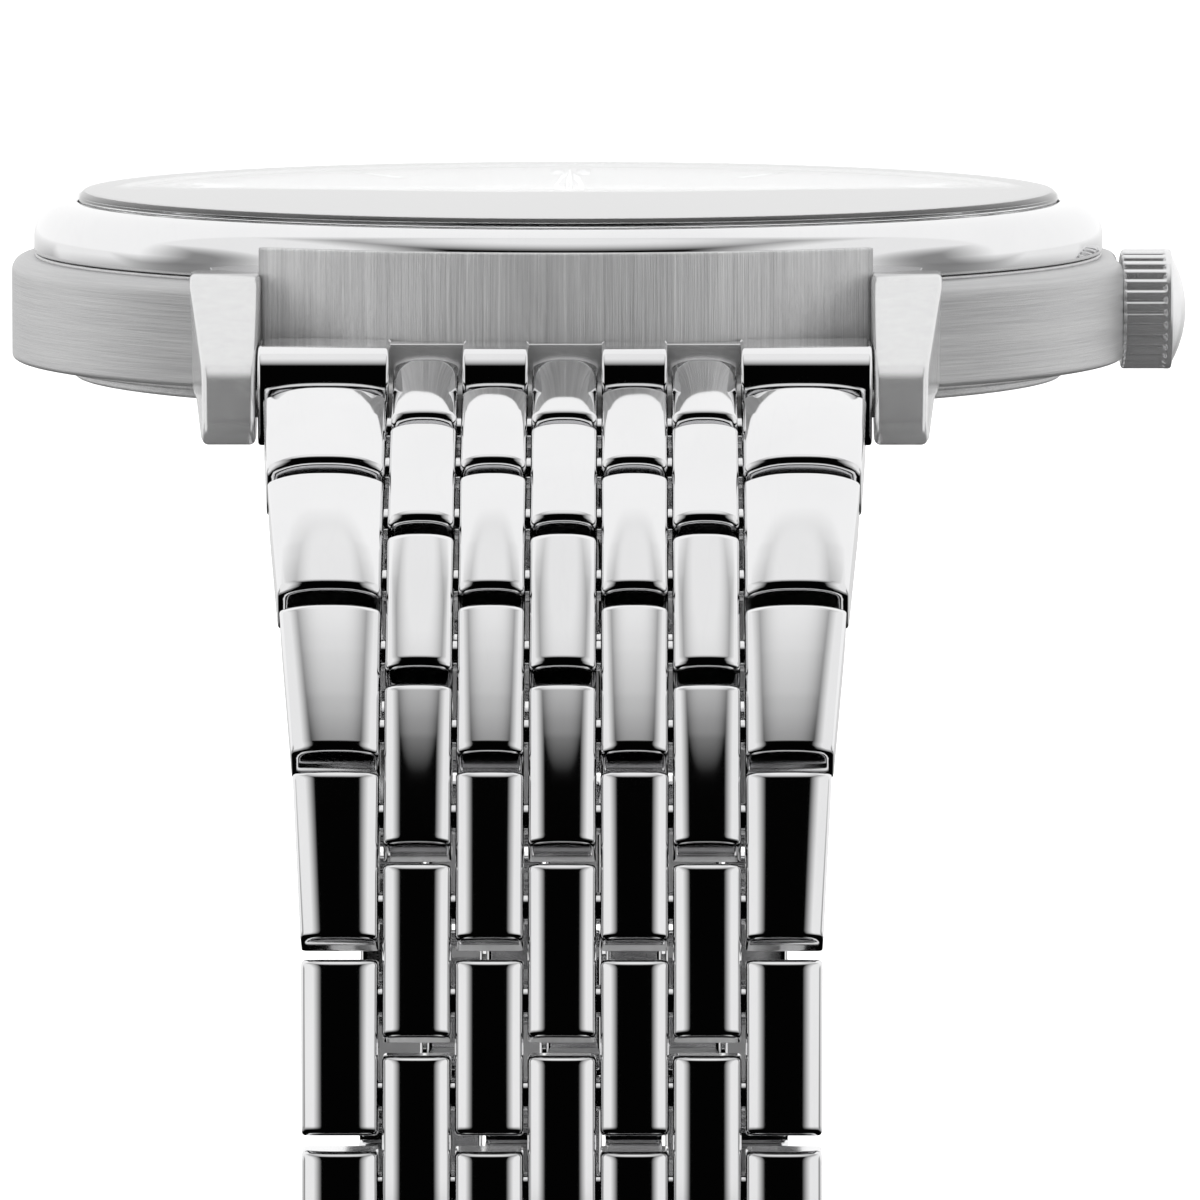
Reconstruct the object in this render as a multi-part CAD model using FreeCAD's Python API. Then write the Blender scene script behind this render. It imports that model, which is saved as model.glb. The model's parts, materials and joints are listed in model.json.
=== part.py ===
import FreeCAD, Part
import math
import os

# Wristwatch on a seven-row link bracelet, in millimetres.
# Origin: centre of the case back's flat outer face. +Z runs out of the dial,
# +X towards the crown at 3 o'clock, -Y towards 6 o'clock.

# --- head of the watch ---
BACK_FACE_R = 16.9          # flat face that lies on the wrist
BACK_RIM_R = 17.7
BACK_STEP_Z = 0.35
CASE_BOTTOM_Z = 0.6
CASE_TOP_Z = 4.2
CAVITY_R = 15.8
CASE_R = 18.2               # round middle of the case
BELT_R = 19.0               # outer belt on the 3 and 9 o'clock sides
BELT_TOP_Z = 4.1
FLANK_R = 18.7              # brushed wall between the lugs
FLANK_TOP_Z = 5.3
BEZEL_R = 18.24
BEZEL_RIM_R = 16.95
BEZEL_TOP_Z = 6.0
BEZEL_SHOULDER_Z = 4.75
BEZEL_BORE_R = 16.75
CRYSTAL_R = 16.7
CRYSTAL_SEAT_Z = 5.1
CRYSTAL_STEP_Z = 5.6
CRYSTAL_TOP_Z = 6.3
CRYSTAL_LOWER_R = 16.3
REHAUT_R = 15.7             # inner wall between dial and crystal

# --- lugs ---
LUG_GAP = 20.0              # strap width between the lugs
LUG_OUTER_X = 12.35
LUG_FOOT_X = 11.7
LUG_TIP_Y = 22.6
LUG_TIP_Z = -0.7

# --- crown and stem ---
STEM_Z = 2.2
STEM_R = 0.42
CROWN_R = 2.05
CROWN_X = (18.85, 20.5)     # fluted part
CROWN_DOME_X = 21.1
CROWN_FLUTES = 30
TUBE_R = 0.95

# --- bracelet ---
PIN_PITCH = 2.9             # from one hinge to the next
FIRST_PIN = (20.6, 0.55)    # spring bar: distance from the centre, height
FIRST_ANGLE = 14.5          # slope of the first link, degrees below level
TURNS = ((1, 7.0), (8, 7.6), (2, 4.0), (6, 14.0), (1, 5.7))   # (hinges, turn at each); the clasp lies level
LINK_LENGTH = 5.15
LINK_THICK = 2.6
LINKS_PER_SIDE = 18
COLUMN_PITCH = 2.25
COLUMN_WIDTH = 2.12
SIDE_COLUMN_X = 5.69        # inner edge of the two outer columns
WIDE_HALF = 9.75            # half width of the bracelet at the lugs
NARROW_HALF = 8.05
TAPER_LENGTH = 27.0
PIN_R = 0.5
HINGE_CLEARANCE = 0.06
BAR_R = 0.7
BAR_TIP_R = 0.45

# --- folding clasp ---
COVER_HALF = 8.0
COVER_WALL = 0.8
COVER_END_GAP = 1.65        # from the end pins to the cover's ends
BLADE_HALF = 6.3
BLADE_THICK = 0.6
FOLD_PIN_R = 0.3
BUTTON_R = 1.2
BUTTON_Y = -6.0
FOLD_PIN_INSET = 3.2        # fold pin at the cover, from the strand's last pin
SECOND_PIN_INSET = 6.0      # fold pin between the blades, from the strand's last pin
HOOK_CLEARANCE = 0.12       # round the pin in the cover's open fingers

V = FreeCAD.Vector
X_AXIS = V(1, 0, 0)
Z_AXIS = V(0, 0, 1)


def disc(radius, z0, z1):
    """Upright cylinder on the dial's axis."""
    return Part.makeCylinder(radius, z1 - z0, V(0, 0, z0))


def ring(outer, inner, z0, z1):
    return disc(outer, z0, z1).cut(disc(inner, z0 - 1, z1 + 1))


def box(x0, x1, y0, y1, z0, z1):
    return Part.makeBox(x1 - x0, y1 - y0, z1 - z0, V(x0, y0, z0))


def rod(radius, x0, x1, y=0.0, z=0.0):
    """Cylinder that lies along X."""
    return Part.makeCylinder(radius, x1 - x0, V(x0, y, z), X_AXIS)


def outline(corners, place):
    """Closed face through corners (a, b, radius); place turns (a, b) into a point."""
    edges = []
    previous_end = None
    first_start = None
    count = len(corners)
    for i in range(count):
        a, b, radius = corners[i]
        corner = V(a, b, 0)
        back = V(*corners[i - 1][:2], 0) - corner
        ahead = V(*corners[(i + 1) % count][:2], 0) - corner
        back.normalize()
        ahead.normalize()
        half = back.getAngle(ahead) / 2
        start = corner
        end = corner
        if radius > 0:
            start = corner + back * (radius / math.tan(half))
            end = corner + ahead * (radius / math.tan(half))
        if previous_end is None:
            first_start = start
        else:
            edges.append(Part.LineSegment(place(previous_end), place(start)).toShape())
        if radius > 0:
            middle = back + ahead
            middle.normalize()
            top = corner + middle * (radius / math.sin(half) - radius)
            edges.append(Part.Arc(place(start), place(top), place(end)).toShape())
        previous_end = end
    edges.append(Part.LineSegment(place(previous_end), place(first_start)).toShape())
    return Part.Face(Part.Wire(edges))


def side_solid(corners, x0, x1):
    """Outline of (y, z, radius) corners, carried along X."""
    face = outline(corners, lambda p: V(x0, p.x, p.y))
    return face.extrude(V(x1 - x0, 0, 0))


def plan_solid(corners, z0, z1):
    """Outline of (x, y, radius) corners, carried up Z."""
    face = outline(corners, lambda p: V(p.x, p.y, z0))
    return face.extrude(V(0, 0, z1 - z0))


def turned(corners):
    """Outline of (radius, z, corner radius), turned about the dial's axis."""
    face = outline(corners, lambda p: V(p.x, 0, p.y))
    return face.revolve(V(0, 0, 0), Z_AXIS, 360)


def half_turn(shape):
    """The same shape on the opposite side of the watch."""
    other = shape.copy()
    other.rotate(V(0, 0, 0), Z_AXIS, 180)
    return other


def mirror_x(shape):
    return shape.mirror(V(0, 0, 0), X_AXIS)


# ---------------------------------------------------------------- case

def lug():
    """Lug at 6 o'clock on the crown's side, with the blind hole of the spring bar."""
    side = side_solid([
        (-14.0, CASE_BOTTOM_Z, 0), (-14.0, 4.45, 0), (-16.2, 4.45, 2.0), (-21.3, 1.75, 1.5),
        (-LUG_TIP_Y, LUG_TIP_Z, 0.55), (-20.6, LUG_TIP_Z, 0.5), (-18.8, CASE_BOTTOM_Z, 1.2)],
        LUG_GAP / 2, LUG_OUTER_X + 1)
    plan = plan_solid([
        (LUG_GAP / 2, -13.0, 0), (LUG_OUTER_X, -13.0, 0), (LUG_OUTER_X, -16.5, 3.0),
        (LUG_FOOT_X, -24.0, 0), (LUG_GAP / 2, -24.0, 0)], -3, 6)
    solid = side.common(plan).Solids[0]
    faces_x = [e for e in solid.Edges if e.BoundBox.XLength < 0.5]
    solid = solid.makeFillet(0.22, [e for e in faces_x if e.BoundBox.YMin < -14.5])
    hole = rod(BAR_TIP_R + 0.05, LUG_GAP / 2 - 1, LUG_GAP / 2 + 1.1, -FIRST_PIN[0], FIRST_PIN[1])
    return solid.cut(hole)


def middle_case():
    body = disc(CASE_R, CASE_BOTTOM_Z, CASE_TOP_Z)
    belt = turned([
        (17.0, CASE_BOTTOM_Z, 0), (BELT_R, CASE_BOTTOM_Z, 0.15),
        (BELT_R, BELT_TOP_Z, 0.5), (17.0, BELT_TOP_Z, 0)])
    between = box(-LUG_GAP / 2 - 0.5, LUG_GAP / 2 + 0.5, -30, 30, -5, 10)
    belt = belt.cut(between)
    flank = ring(FLANK_R, 17.5, CASE_BOTTOM_Z, FLANK_TOP_Z)
    flank = flank.common(box(-LUG_GAP / 2 - 0.2, LUG_GAP / 2 + 0.2, -30, 30, -5, 10))
    right = lug()
    pair = right.fuse(mirror_x(right))
    body = body.fuse([belt, flank, pair, half_turn(pair)])
    body = body.cut(disc(CAVITY_R, 0, 10))
    body = body.cut(disc(BEZEL_R + 0.03, CASE_TOP_Z, 10))
    body = body.cut(disc(16.25, 0, CASE_BOTTOM_Z + 0.35))
    body = body.cut(rod(CROWN_R + 0.25, 18.6, 25, 0, STEM_Z))
    return body.cut(rod(TUBE_R, 14, 25, 0, STEM_Z))


def bezel():
    """Polished ring with a round shoulder; its inner wall is the rehaut."""
    rise = BEZEL_TOP_Z - BEZEL_SHOULDER_Z
    reach = BEZEL_R - BEZEL_RIM_R
    steps = 10
    arc = []
    for i in range(steps + 1):
        angle = math.pi / 2 * i / steps
        arc.append(V(BEZEL_RIM_R + reach * math.cos(angle), 0, BEZEL_SHOULDER_Z + rise * math.sin(angle)))
    curve = Part.BSplineCurve()
    curve.interpolate(arc)
    points = [arc[-1], V(BEZEL_BORE_R, 0, BEZEL_TOP_Z - 0.1), V(BEZEL_BORE_R, 0, CRYSTAL_SEAT_Z),
              V(REHAUT_R, 0, CRYSTAL_SEAT_Z), V(REHAUT_R, 0, CASE_TOP_Z),
              V(BEZEL_R, 0, CASE_TOP_Z), arc[0]]
    edges = [curve.toShape()]
    for i in range(len(points) - 1):
        edges.append(Part.LineSegment(points[i], points[i + 1]).toShape())
    return Part.Face(Part.Wire(edges)).revolve(V(0, 0, 0), Z_AXIS, 360)


def crystal():
    return turned([
        (0, CRYSTAL_SEAT_Z, 0), (CRYSTAL_LOWER_R, CRYSTAL_SEAT_Z, 0), (CRYSTAL_LOWER_R, CRYSTAL_STEP_Z, 0),
        (CRYSTAL_R, CRYSTAL_STEP_Z, 0), (CRYSTAL_R, CRYSTAL_TOP_Z - 0.13, 0),
        (CRYSTAL_R - 0.16, CRYSTAL_TOP_Z, 0), (0, CRYSTAL_TOP_Z, 0)])


def seals():
    """Crystal gasket and case back gasket, two separate rings."""
    top = ring(CRYSTAL_R, CRYSTAL_LOWER_R + 0.02, CRYSTAL_SEAT_Z + 0.02, CRYSTAL_STEP_Z - 0.02)
    back = ring(16.2, CAVITY_R - 0.02, CASE_BOTTOM_Z + 0.02, CASE_BOTTOM_Z + 0.32)
    return Part.makeCompound([top, back])


def case_back():
    """Snap back: flat wrist face, one step, a boss inside and an opening notch."""
    shell = turned([
        (0, 0, 0), (BACK_FACE_R, 0, 0.08), (BACK_FACE_R, BACK_STEP_Z, 0),
        (BACK_RIM_R, BACK_STEP_Z, 0.08), (BACK_RIM_R, CASE_BOTTOM_Z, 0), (CAVITY_R - 0.1, CASE_BOTTOM_Z, 0),
        (CAVITY_R - 0.1, CASE_BOTTOM_Z + 0.4, 0), (0, CASE_BOTTOM_Z + 0.4, 0)])
    notch = box(-1.5, 1.5, -BACK_RIM_R - 1, -BACK_RIM_R + 0.5, BACK_STEP_Z - 0.1, CASE_BOTTOM_Z - 0.05)
    notch.rotate(V(0, 0, 0), Z_AXIS, 45)
    return shell.cut(notch)


# ---------------------------------------------------------------- movement and dial

def movement():
    """Quartz module on its holder ring, with pockets for the battery and the stem."""
    body = disc(15.5, 1.05, 3.65)
    body = body.cut(disc(1.0, 2.4, 4))
    battery_pocket = Part.makeCylinder(3.5, 2.3, V(-6.5, 4.5, 1.0))
    channel = box(6.5, 16, -1.3, 1.3, 1.2, 3.2)
    return body.cut(battery_pocket).cut(channel)


def battery():
    return Part.makeCylinder(3.4, 2.1, V(-6.5, 4.5, 1.08))


def dial():
    plate = disc(15.6, 3.7, 4.05)
    return plate.cut(disc(0.95, 3, 5))


def hour_markers():
    """Twelve applied bars, doubled at 12 o'clock."""
    bars = []
    for hour in range(12):
        offsets = (-0.45, 0.45) if hour == 0 else (0.0,)
        for offset in offsets:
            bar = box(offset - 0.25, offset + 0.25, 11.4, 14.6, 4.05, 4.27)
            bar.rotate(V(0, 0, 0), Z_AXIS, -30 * hour)
            bars.append(bar)
    return Part.makeCompound(bars)


def hand(length, tail, width, plate_z, tube_outer, tube_inner, tube_bottom):
    """Tapered hand that points at 12 o'clock, on its tube."""
    thick = 0.15
    blade = plan_solid([
        (-width / 2, -tail, 0), (width / 2, -tail, 0), (width / 4, length, 0),
        (-width / 4, length, 0)], plate_z, plate_z + thick)
    hub = disc(tube_outer + 0.35, plate_z, plate_z + thick)
    tube = disc(tube_outer, tube_bottom, plate_z + thick)
    solid = blade.fuse([hub, tube])
    if tube_inner > 0:
        solid = solid.cut(disc(tube_inner, tube_bottom - 1, plate_z + 1))
    return solid


def hour_hand():
    return hand(8.6, 2.2, 1.3, 4.34, 0.85, 0.6, 2.6)


def minute_hand():
    return hand(12.8, 2.6, 1.0, 4.58, 0.52, 0.27, 2.5)


def second_hand():
    return hand(13.6, 4.0, 0.35, 4.82, 0.2, 0, 2.45)


# ---------------------------------------------------------------- crown

def crown_tube():
    return rod(TUBE_R, CAVITY_R + 0.2, 19.7, 0, STEM_Z).cut(rod(STEM_R + 0.08, 14, 21, 0, STEM_Z))


def crown():
    """Fluted crown with a shallow dome, bored to pass over the tube."""
    start, end = CROWN_X
    body = rod(CROWN_R, start, end, 0, STEM_Z)
    rim = rod(CROWN_R - 0.02, end - 0.12, end + 0.1, 0, STEM_Z)
    body = body.fuse(rim)
    for i in range(CROWN_FLUTES):
        angle = 2 * math.pi * i / CROWN_FLUTES
        y = (CROWN_R + 0.04) * math.cos(angle)
        z = STEM_Z + (CROWN_R + 0.04) * math.sin(angle)
        body = body.cut(rod(0.14, start - 1, end - 0.12, y, z))
    rise = CROWN_DOME_X - end - 0.1
    base = CROWN_R - 0.2
    ball_r = (base * base + rise * rise) / (2 * rise)
    ball = Part.makeSphere(ball_r, V(CROWN_DOME_X - ball_r, 0, STEM_Z))
    dome = ball.common(rod(base, end, CROWN_DOME_X + 1, 0, STEM_Z))
    body = body.fuse(dome)
    return body.cut(rod(TUBE_R + 0.08, start - 1, start + 1.1, 0, STEM_Z))


def winding_stem():
    return rod(STEM_R, 7.4, CROWN_X[0] + 1.1, 0, STEM_Z)


def winding_pinion():
    """Small toothed wheel that the stem slides through and turns."""
    wheel = rod(0.8, 9.6, 11.2, 0, STEM_Z)
    for i in range(12):
        angle = 2 * math.pi * i / 12
        groove = rod(0.1, 9, 12, 0.82 * math.cos(angle), STEM_Z + 0.82 * math.sin(angle))
        wheel = wheel.cut(groove)
    return wheel.cut(rod(STEM_R + 0.04, 9, 12, 0, STEM_Z))


# ---------------------------------------------------------------- bracelet

def strand_poses():
    """Start point and slope of each link, as (distance from centre, height, degrees)."""
    turns = []
    for count, turn in TURNS:
        turns += [turn] * count
    along, height = FIRST_PIN
    angle = FIRST_ANGLE
    poses = []
    for i in range(LINKS_PER_SIDE + 1):
        poses.append((along, height, angle))
        slope = math.radians(angle)
        along += PIN_PITCH * math.cos(slope)
        height -= PIN_PITCH * math.sin(slope)
        angle += turns[i] if i < len(turns) else 0
    return poses


def half_width(distance):
    """Half the bracelet's width, a smooth taper with distance from the spring bar."""
    t = min(max(distance / TAPER_LENGTH, 0), 1)
    return WIDE_HALF + (NARROW_HALF - WIDE_HALF) * t * t * (3 - 2 * t)


def link_piece(x0, x1, x0_far, x1_far, hole_r):
    """One column of a link: domed outside, small outer corners, round inner corners.

    It lies along -Y, centred on the origin, between x0 and x1 at its near end and
    x0_far and x1_far at its far end.
    """
    half = LINK_LENGTH / 2
    thick = LINK_THICK / 2
    low = min(x0, x0_far)
    high = max(x1, x1_far)
    piece = side_solid([
        (-half, -thick, 1.05), (-half, thick, 0.3), (half, thick, 0.3), (half, -thick, 1.05)],
        low, high)
    plan = plan_solid([
        (x0, half + 0.1, 0), (x1, half + 0.1, 0), (x1_far, -half - 0.1, 0), (x0_far, -half - 0.1, 0)],
        -thick - 1, thick + 1)
    piece = piece.common(plan)
    dome_r = 2.4 * (high - low)
    dome = Part.makeCylinder(dome_r, LINK_LENGTH + 2, V((low + high) / 2, -half - 1, thick - dome_r), V(0, 1, 0))
    piece = piece.common(dome)
    for y in (-PIN_PITCH / 2, PIN_PITCH / 2):
        piece = piece.cut(rod(hole_r, low - 1, high + 1, y, 0))
    return piece


def wide_link(distance):
    """Four pieces, columns 1, 3, 5 and 7, with the two pins pressed into them."""
    near = half_width(distance - LINK_LENGTH / 2)
    far = half_width(distance + LINK_LENGTH / 2)
    solids = []
    for centre in (-COLUMN_PITCH, COLUMN_PITCH):
        x0 = centre - COLUMN_WIDTH / 2
        x1 = centre + COLUMN_WIDTH / 2
        solids.append(link_piece(x0, x1, x0, x1, PIN_R))
    side = link_piece(SIDE_COLUMN_X, near, SIDE_COLUMN_X, far, PIN_R)
    solids += [side, mirror_x(side)]
    reach = min(near, far) - 0.05
    for y in (-PIN_PITCH / 2, PIN_PITCH / 2):
        solids.append(rod(PIN_R, -reach, reach, y, 0))
    return Part.makeCompound(solids)


def narrow_link(first_hole_r):
    """Three pieces, columns 2, 4 and 6, free to turn on the pins."""
    solids = []
    for centre in (-2 * COLUMN_PITCH, 0, 2 * COLUMN_PITCH):
        x0 = centre - COLUMN_WIDTH / 2
        x1 = centre + COLUMN_WIDTH / 2
        piece = link_piece(x0, x1, x0, x1, PIN_R + HINGE_CLEARANCE)
        if first_hole_r > PIN_R + HINGE_CLEARANCE:
            piece = piece.cut(rod(first_hole_r, x0 - 1, x1 + 1, PIN_PITCH / 2, 0))
        solids.append(piece)
    return Part.makeCompound(solids)


def strand():
    """The 18 links of the 6 o'clock side, in their places on the worn loop."""
    links = []
    poses = strand_poses()
    for i in range(LINKS_PER_SIDE):
        along, height, angle = poses[i]
        if i % 2 == 0:
            link = narrow_link(BAR_R + HINGE_CLEARANCE if i == 0 else 0)
        else:
            link = wide_link((i + 0.5) * PIN_PITCH)
        slope = math.radians(angle)
        link.rotate(V(0, 0, 0), X_AXIS, angle)
        link.translate(V(0, -along - PIN_PITCH / 2 * math.cos(slope), height - PIN_PITCH / 2 * math.sin(slope)))
        links.append(link)
    return links


def end_link():
    """Solid end piece between the lugs, slotted for the first link's three columns."""
    along, height = FIRST_PIN
    half = LUG_GAP / 2 - 0.07
    block = side_solid([
        (-17.0, -0.75, 0), (-17.0, 2.45, 0), (-22.2, 2.45, 0.6), (-21.6, -0.75, 0.4)], -half, half)
    block = block.cut(disc(FLANK_R + 0.03, -2, 6))
    gap = COLUMN_PITCH - COLUMN_WIDTH
    for centre in (-2 * COLUMN_PITCH, 0, 2 * COLUMN_PITCH):
        x0 = centre - COLUMN_WIDTH / 2 - gap
        x1 = centre + COLUMN_WIDTH / 2 + gap
        block = block.cut(box(x0, x1, -25, -19.05, -3, 4))
    return block.cut(rod(BAR_R + 0.02, -12, 12, -along, height))


def spring_bars():
    """Two bars with thin sprung tips that sit in the lugs."""
    along, height = FIRST_PIN
    reach = LUG_GAP / 2 - 0.15
    tube = rod(BAR_R, -reach, reach, -along, height)
    tips = rod(BAR_TIP_R, -LUG_GAP / 2 - 1.0, LUG_GAP / 2 + 1.0, -along, height)
    bar = tube.fuse(tips)
    return Part.makeCompound([bar, half_turn(bar)])


# ---------------------------------------------------------------- clasp

def clasp_levels():
    """End pin position and the heights of the two blades' middles."""
    along, height, _ = strand_poses()[LINKS_PER_SIDE]
    outer_blade = height - 0.15
    inner_blade = outer_blade + 0.95
    return along, height, outer_blade, inner_blade


def clasp_cover():
    """Channel-shaped cover, hooked on the 12 o'clock strand's last pin by three open fingers."""
    end, height, outer_blade, _ = clasp_levels()
    y0 = -(end - COVER_END_GAP)
    y1 = end - COVER_END_GAP
    z0 = height - 1.5
    z1 = height + 0.9
    shell = side_solid([
        (y0, z0, 0.9), (y1, z0, 0.9), (y1, z1, 0.5), (y0, z1, 0.5)], -COVER_HALF, COVER_HALF)
    inside = COVER_HALF - COVER_WALL
    shell = shell.cut(box(-inside, inside, y0 - 1, y1 - 1.2, height - 0.7, z1 + 1))
    for centre in (-2 * COLUMN_PITCH, 0, 2 * COLUMN_PITCH):
        x0 = centre - COLUMN_WIDTH / 2
        finger = box(x0, x0 + COLUMN_WIDTH, y1 - 0.5, end - 0.3, height - 1.1, height)
        shell = shell.fuse(finger)
    shell = shell.cut(rod(PIN_R + HOOK_CLEARANCE, -12, 12, end, height))
    for side in (-1, 1):
        bore = rod(BUTTON_R + 0.05, 0, 12, BUTTON_Y, height)
        shell = shell.cut(bore if side > 0 else mirror_x(bore))
    pin = rod(FOLD_PIN_R, -inside, inside, -(end - FOLD_PIN_INSET), outer_blade)
    return Part.makeCompound([shell, pin])


def clasp_outer_blade():
    """Long blade under the cover, with a knuckle at each end."""
    end, _, outer_blade, inner_blade = clasp_levels()
    first = -(end - FOLD_PIN_INSET)
    second = end - SECOND_PIN_INSET
    fold_z = (outer_blade + inner_blade) / 2
    half = BLADE_THICK / 2
    plate = box(-BLADE_HALF, BLADE_HALF, first, second - 1.0, outer_blade - half, outer_blade + half)
    knuckle = rod(0.5, -BLADE_HALF, BLADE_HALF, first, outer_blade)
    plate = plate.fuse(knuckle).cut(rod(FOLD_PIN_R + 0.05, -12, 12, first, outer_blade))
    for x0, x1 in ((-BLADE_HALF, -2.2), (2.2, BLADE_HALF)):
        arm = box(x0, x1, second - 1.2, second, outer_blade - half, outer_blade + half)
        plate = plate.fuse([arm, rod(0.78, x0, x1, second, fold_z)])
    plate = plate.cut(box(-8, 8, second - 2, second + 2, outer_blade - 3, outer_blade - half))
    plate = plate.cut(rod(FOLD_PIN_R, -12, 12, second, fold_z))
    pin = rod(FOLD_PIN_R, -BLADE_HALF, BLADE_HALF, second, fold_z)
    return Part.makeCompound([plate, pin])


def clasp_inner_blade():
    """Blade on the wrist side, hinged to the 6 o'clock strand by three knuckles."""
    end, height, outer_blade, inner_blade = clasp_levels()
    second = end - SECOND_PIN_INSET
    fold_z = (outer_blade + inner_blade) / 2
    half = BLADE_THICK / 2
    far = -(end - COVER_END_GAP)
    plate = box(-BLADE_HALF, BLADE_HALF, far, second - 1.0, inner_blade - half, inner_blade + half)
    tongue = box(-2.1, 2.1, second - 1.2, second, inner_blade - half, inner_blade + half)
    plate = plate.fuse([tongue, rod(0.7, -2.1, 2.1, second, fold_z)])
    plate = plate.cut(rod(FOLD_PIN_R + 0.05, -12, 12, second, fold_z))
    for centre in (-2 * COLUMN_PITCH, 0, 2 * COLUMN_PITCH):
        x0 = centre - COLUMN_WIDTH / 2
        knuckle = rod(1.05, x0, x0 + COLUMN_WIDTH, -end, height)
        arm = box(x0, x0 + COLUMN_WIDTH, -end, far + 0.3, height - 0.6, inner_blade + half)
        plate = plate.fuse([knuckle, arm])
    return plate.cut(rod(PIN_R + HINGE_CLEARANCE, -12, 12, -end, height))


def clasp_button():
    """Push button in the cover's wall on the crown's side."""
    height = clasp_levels()[1]
    stem = rod(BUTTON_R, COVER_HALF - COVER_WALL - 0.25, COVER_HALF + 0.7, BUTTON_Y, height)
    flange = rod(BUTTON_R + 0.35, COVER_HALF - COVER_WALL - 0.25, COVER_HALF - COVER_WALL - 0.03,
                 BUTTON_Y, height)
    flange = flange.common(box(0, 12, BUTTON_Y - 3, BUTTON_Y + 3, height - 0.65, height + 3))
    return stem.fuse(flange)


def build():
    nodes = {
        "middle_case": middle_case(),
        "bezel": bezel(),
        "crystal": crystal(),
        "seals": seals(),
        "case_back": case_back(),
        "movement": movement(),
        "battery": battery(),
        "dial": dial(),
        "hour_markers": hour_markers(),
        "hour_hand": hour_hand(),
        "minute_hand": minute_hand(),
        "second_hand": second_hand(),
        "crown_tube": crown_tube(),
        "crown": crown(),
        "winding_stem": winding_stem(),
        "winding_pinion": winding_pinion(),
        "end_link_six": end_link(),
        "end_link_twelve": half_turn(end_link()),
        "spring_bars": spring_bars(),
        "clasp_cover": clasp_cover(),
        "clasp_outer_blade": clasp_outer_blade(),
        "clasp_inner_blade": clasp_inner_blade(),
        "clasp_button_right": clasp_button(),
        "clasp_button_left": mirror_x(clasp_button()),
    }
    for i, link in enumerate(strand()):
        nodes["link_six_%02d" % (i + 1)] = link
        nodes["link_twelve_%02d" % (i + 1)] = half_turn(link)
    return nodes


os.makedirs("parts", exist_ok=True)
for name, shape in build().items():
    if not shape.isValid():
        print("not valid:", name)
    shape.exportStep("parts/%s.step" % name)
    print(name, len(shape.Solids), "solids", round(shape.Volume, 2), "mm3")
for pose in strand_poses():
    print("pin at %.2f, %.2f, slope %.1f" % pose)
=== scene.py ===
import json
import math

import bmesh
import bpy
import numpy as np
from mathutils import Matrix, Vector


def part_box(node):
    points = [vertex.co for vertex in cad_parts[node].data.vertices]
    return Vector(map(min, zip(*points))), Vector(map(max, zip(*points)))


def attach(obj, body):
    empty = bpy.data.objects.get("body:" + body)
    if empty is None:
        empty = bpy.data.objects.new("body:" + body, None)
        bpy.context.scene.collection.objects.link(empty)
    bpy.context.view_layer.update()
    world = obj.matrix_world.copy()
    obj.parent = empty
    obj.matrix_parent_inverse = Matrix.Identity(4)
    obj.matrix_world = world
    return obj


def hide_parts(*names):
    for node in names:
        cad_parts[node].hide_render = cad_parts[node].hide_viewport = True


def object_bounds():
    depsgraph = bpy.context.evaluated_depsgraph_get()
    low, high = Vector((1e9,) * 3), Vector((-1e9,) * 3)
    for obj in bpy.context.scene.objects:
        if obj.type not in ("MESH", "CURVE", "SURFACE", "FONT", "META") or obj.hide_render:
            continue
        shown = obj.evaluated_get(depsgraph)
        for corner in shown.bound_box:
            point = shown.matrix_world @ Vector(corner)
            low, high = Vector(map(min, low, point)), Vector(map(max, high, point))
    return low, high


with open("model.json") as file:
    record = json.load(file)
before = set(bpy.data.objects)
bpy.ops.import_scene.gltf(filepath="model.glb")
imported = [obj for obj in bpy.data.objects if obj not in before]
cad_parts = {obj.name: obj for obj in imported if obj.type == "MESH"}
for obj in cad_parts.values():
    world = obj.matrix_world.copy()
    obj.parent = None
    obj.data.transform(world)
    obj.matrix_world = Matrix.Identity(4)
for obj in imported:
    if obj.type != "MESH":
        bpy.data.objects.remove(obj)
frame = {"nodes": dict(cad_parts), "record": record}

cadBox = [list(corner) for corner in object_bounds()]
joints = {joint["name"]: joint for joint in frame["record"]["behaviour"]["joints"]}
print("frame loaded,", len(frame["nodes"]), "nodes")

mmPerMetre = 1000
metrePerMm = 0.001
halfTurn = [[-1, 0, 0], [0, -1, 0], [0, 0, 1]]
mirrorX = [[-1, 0, 0], [0, 1, 0], [0, 0, 1]]


# Low and high corners of a CAD node, in millimetres.
def boxMm(node):
    low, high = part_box(node)
    return np.array(low) * mmPerMetre, np.array(high) * mmPerMetre


# Place of a joint at rest, in millimetres.
def jointMm(name):
    return np.array(joints[name]["pos_m"]) * mmPerMetre


# Eases from 0 to 1: t squared times (3 minus 2t), held at both ends.
def smooth(t):
    t = np.clip(t, 0, 1)
    return t * t * (3 - 2 * t)


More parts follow.
